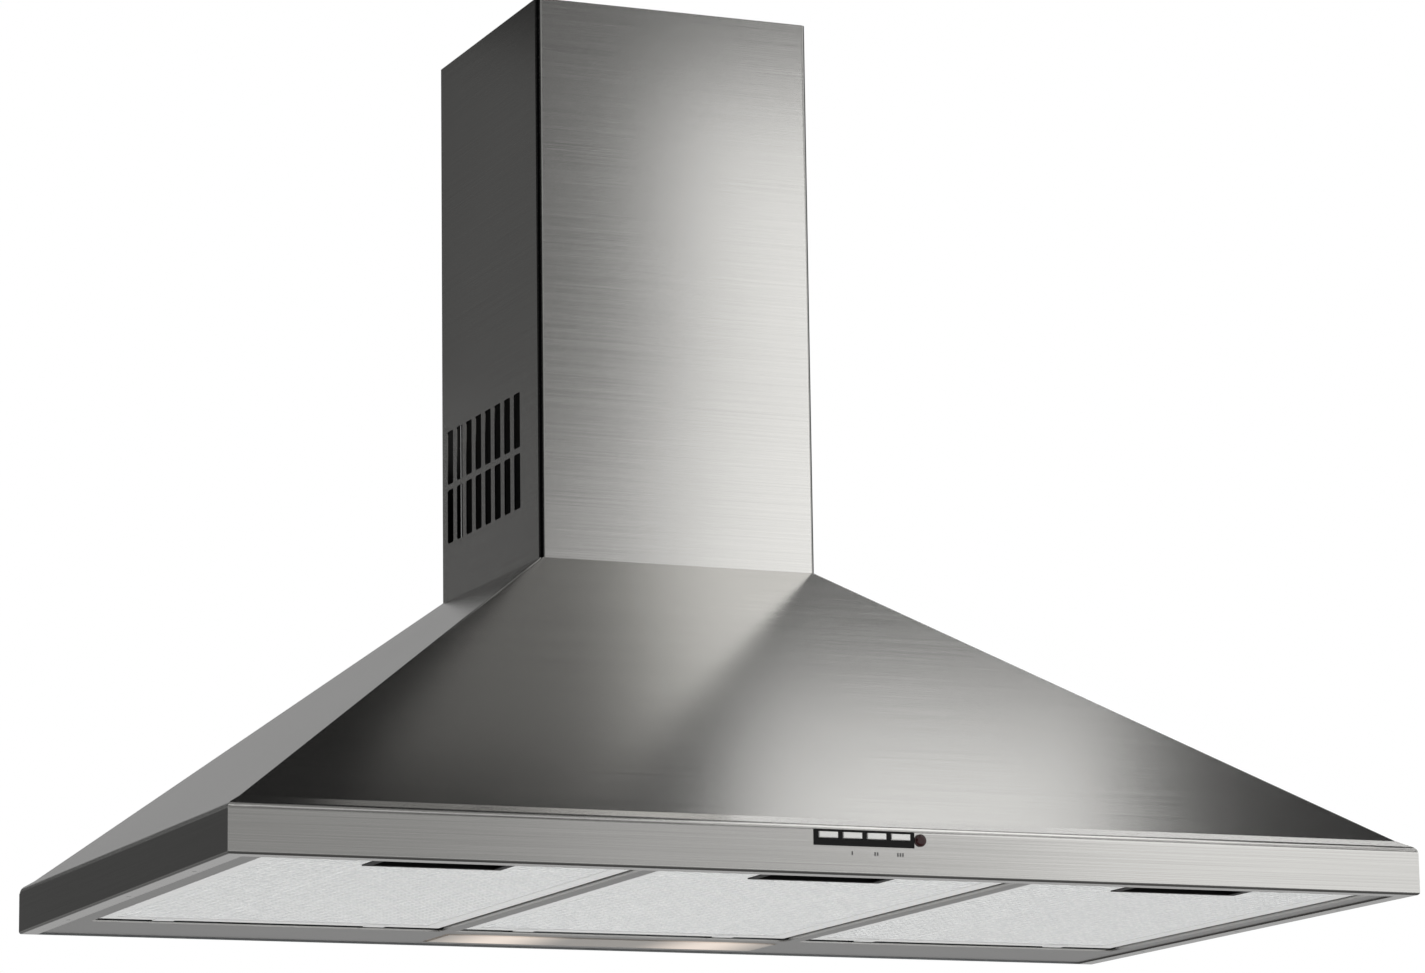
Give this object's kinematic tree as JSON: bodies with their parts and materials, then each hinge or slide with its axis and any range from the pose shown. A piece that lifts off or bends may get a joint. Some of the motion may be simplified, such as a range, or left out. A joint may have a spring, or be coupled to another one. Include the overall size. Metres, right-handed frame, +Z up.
{
  "type": "wall mount range hood",
  "caption": "Brushed steel wall hood: pyramid canopy with push buttons on its band, drop-down grease filters, slotted telescopic chimney and an inner blower.",
  "frame": {"origin": "middle of the back panel's lower edge, in the plane of the wall", "axes": "+Z up, +Y into the wall, +X to the right for someone at the hob"},
  "size_m": [0.9, 0.5222, 0.702],
  "materials": {
    "steel": "brushed",
    "tray": "brushed",
    "zinc": "galvanised sheet",
    "dark_plate": "black paint",
    "screws": "bright",
    "aluminium": "satin",
    "mesh": "mesh",
    "black": "matt",
    "keys": "satin",
    "pilot": "clear red",
    "diffuser": "frosted",
    "bulb": "frosted",
    "caps": "bright",
    "ceramic": "matt",
    "grey_plastic": "matt",
    "wheel": "matt",
    "motor": "painted",
    "rubber": "matt",
    "capacitor": "satin",
    "clip": "bright"
  },
  "bodies": {
    "hood": {"canopy_shell": "steel", "back_panel": "zinc", "chimney_cover": "steel", "chimney_plate": "dark_plate", "filter_tray": "tray", "tray_front_rail": "tray", "tray_screws": "screws", "lamp_tray": "zinc", "lamp_holder_left": "ceramic", "lamp_holder_right": "ceramic", "bulb_cap_left": "caps", "bulb_cap_right": "caps", "bulb_left": "bulb", "bulb_right": "bulb", "control_bezel": "black", "switch_block": "grey_plastic", "pilot_lens": "pilot", "blower_scroll": "grey_plastic", "blower_lid": "grey_plastic", "motor_body": "motor", "motor_spider": "zinc", "rubber_mounts": "rubber", "motor_screws": "screws", "inlet_guard": "grey_plastic", "blower_hanger": "zinc", "hanger_screws": "screws", "outlet_collar": "grey_plastic", "damper_pin": "screws", "terminal_box": "grey_plastic", "terminal_lid": "grey_plastic", "cable_gland": "grey_plastic", "capacitor": "capacitor", "capacitor_clip": "clip"},
    "extension": {"chimney_extension": "steel", "extension_bracket": "zinc"},
    "rotor": {"impeller": "wheel", "motor_shaft": "screws"},
    "front_flap": {"flap_front": "grey_plastic"},
    "back_flap": {"flap_back": "grey_plastic"},
    "cover": {"lamp_cover": "diffuser"},
    "light_key": {"button_light": "keys"},
    "speed_key_1": {"button_speed_1": "keys"},
    "speed_key_2": {"button_speed_2": "keys"},
    "speed_key_3": {"button_speed_3": "keys"},
    "filter_left": {"filter_frame_left": "aluminium", "filter_mesh_left": "mesh", "latch_cup_left": "black"},
    "latch_left": {"filter_latch_left": "black"},
    "filter_centre": {"filter_frame_centre": "aluminium", "filter_mesh_centre": "mesh", "latch_cup_centre": "black"},
    "latch_centre": {"filter_latch_centre": "black"},
    "filter_right": {"filter_frame_right": "aluminium", "filter_mesh_right": "mesh", "latch_cup_right": "black"},
    "latch_right": {"filter_latch_right": "black"}
  },
  "joints": [
    {"name": "filter_left_drop", "type": "hinge", "parent": "hood", "child": "filter_left", "pos_m": [-0.284, -0.0912, 0.0026], "axis": [1, 0, 0], "range_deg": [0, 75]},
    {"name": "latch_left_pull", "type": "slide", "parent": "filter_left", "child": "latch_left", "axis": [0, 1, 0], "range_m": [0, 0.006], "stiffness_N_per_m": 250},
    {"name": "filter_centre_drop", "type": "hinge", "parent": "hood", "child": "filter_centre", "pos_m": [0, -0.0912, 0.0026], "axis": [1, 0, 0], "range_deg": [0, 75]},
    {"name": "latch_centre_pull", "type": "slide", "parent": "filter_centre", "child": "latch_centre", "axis": [0, 1, 0], "range_m": [0, 0.006], "stiffness_N_per_m": 250},
    {"name": "filter_right_drop", "type": "hinge", "parent": "hood", "child": "filter_right", "pos_m": [0.284, -0.0912, 0.0026], "axis": [1, 0, 0], "range_deg": [0, 75]},
    {"name": "latch_right_pull", "type": "slide", "parent": "filter_right", "child": "latch_right", "axis": [0, 1, 0], "range_m": [0, 0.006], "stiffness_N_per_m": 250},
    {"name": "light_key_press", "type": "slide", "parent": "hood", "child": "light_key", "axis": [0, 1, 0], "range_m": [0, 0.0025], "stiffness_N_per_m": 500},
    {"name": "speed_key_1_press", "type": "slide", "parent": "hood", "child": "speed_key_1", "axis": [0, 1, 0], "range_m": [0, 0.0025], "stiffness_N_per_m": 500},
    {"name": "speed_key_2_press", "type": "slide", "parent": "hood", "child": "speed_key_2", "axis": [0, 1, 0], "range_m": [0, 0.0025], "stiffness_N_per_m": 500},
    {"name": "speed_key_3_press", "type": "slide", "parent": "hood", "child": "speed_key_3", "axis": [0, 1, 0], "range_m": [0, 0.0025], "stiffness_N_per_m": 500},
    {"name": "impeller_spin", "type": "hinge", "parent": "hood", "child": "rotor", "pos_m": [0, -0.19, 0.16], "axis": [1, 0, 0], "continuous": true},
    {"name": "front_flap_lift", "type": "hinge", "parent": "hood", "child": "front_flap", "pos_m": [0, -0.10632, 0.305], "axis": [-1, 0, 0], "range_deg": [0, 70]},
    {"name": "back_flap_lift", "type": "hinge", "parent": "hood", "child": "back_flap", "pos_m": [0, -0.10632, 0.305], "axis": [1, 0, 0], "range_deg": [0, 70]},
    {"name": "lamp_cover_drop", "type": "hinge", "parent": "hood", "child": "cover", "pos_m": [0, -0.025, 0.0052], "axis": [1, 0, 0], "range_deg": [0, 75]},
    {"name": "extension_slide", "type": "slide", "parent": "hood", "child": "extension", "axis": [0, 0, 1], "range_m": [0, 0.22]}
  ]
}
